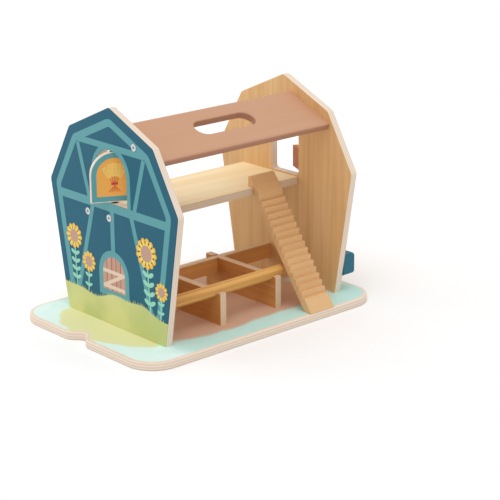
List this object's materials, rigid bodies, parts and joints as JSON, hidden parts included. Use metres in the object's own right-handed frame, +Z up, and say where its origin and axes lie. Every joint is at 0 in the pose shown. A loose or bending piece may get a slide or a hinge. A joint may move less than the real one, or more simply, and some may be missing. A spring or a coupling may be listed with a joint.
{
  "type": "toy barn",
  "caption": "Open wooden toy barn: gables on a base board, roof plank with a carrying slot, loft, stalls, hooked ramp, revolving window panel and half door.",
  "frame": {"origin": "middle of the base board's underside", "axes": "+X along the ridge from the painted gable to the plain one, +Y from the open front to the back, +Z up"},
  "size_m": [0.34, 0.238, 0.2533],
  "materials": {
    "mint_base": "satin printed plywood with a bare rim",
    "teal_gable": "satin printed plywood with bare edges",
    "pine_board": "clear matt lacquer",
    "stall_ply": "clear matt lacquer on plywood",
    "honey_wood": "clear satin lacquer",
    "tan_wood": "satin stain",
    "terracotta_wood": "satin paint",
    "panel_wood": "satin printed plywood with bare edges",
    "teal_block": "satin paint",
    "dowel_beech": "fluted beech",
    "steel": "zinc plated",
    "dark_steel": "blackened",
    "nylon": "moulded nylon"
  },
  "bodies": {
    "barn": {"base_board": "mint_base", "painted_gable": "teal_gable", "plain_gable": "pine_board", "roof_plank": "terracotta_wood", "loft_floor": "pine_board", "stall_back_rail": "stall_ply", "stall_divider_left": "stall_ply", "stall_divider_right": "stall_ply", "manger_bar": "honey_wood", "window_pivot_pins": "dark_steel", "window_pivot_washers": "nylon", "hinge_gable_leaves": "steel", "hinge_pins": "steel", "hinge_gable_screws": "steel", "side_block": "teal_block", "painted_gable_bolts": "steel", "plain_gable_bolts": "steel", "barrel_nuts": "steel", "gable_screws": "steel", "roof_dowels": "dowel_beech", "back_rail_dowels": "dowel_beech", "divider_dowels": "dowel_beech", "side_block_dowels": "dowel_beech"},
    "window_panel": {"window_panel": "panel_wood"},
    "half_door": {"half_door": "terracotta_wood", "hinge_door_leaves": "steel", "hinge_door_screws": "steel"},
    "ramp": {"ramp": "tan_wood"}
  },
  "joints": [
    {"name": "window_panel_turn", "type": "hinge", "parent": "barn", "child": "window_panel", "pos_m": [-0.1155, 0.002, 0.175], "axis": [0, 0, 1], "continuous": true},
    {"name": "half_door_swing", "type": "hinge", "parent": "barn", "child": "half_door", "pos_m": [0.1419, -0.0289, 0.148], "axis": [0, 0, -1], "range_deg": [-24.5, 88]},
    {"name": "ramp_slide", "type": "slide", "parent": "barn", "child": "ramp", "axis": [1, 0, 0], "range_m": [-0.1715, 0.0325]}
  ]
}
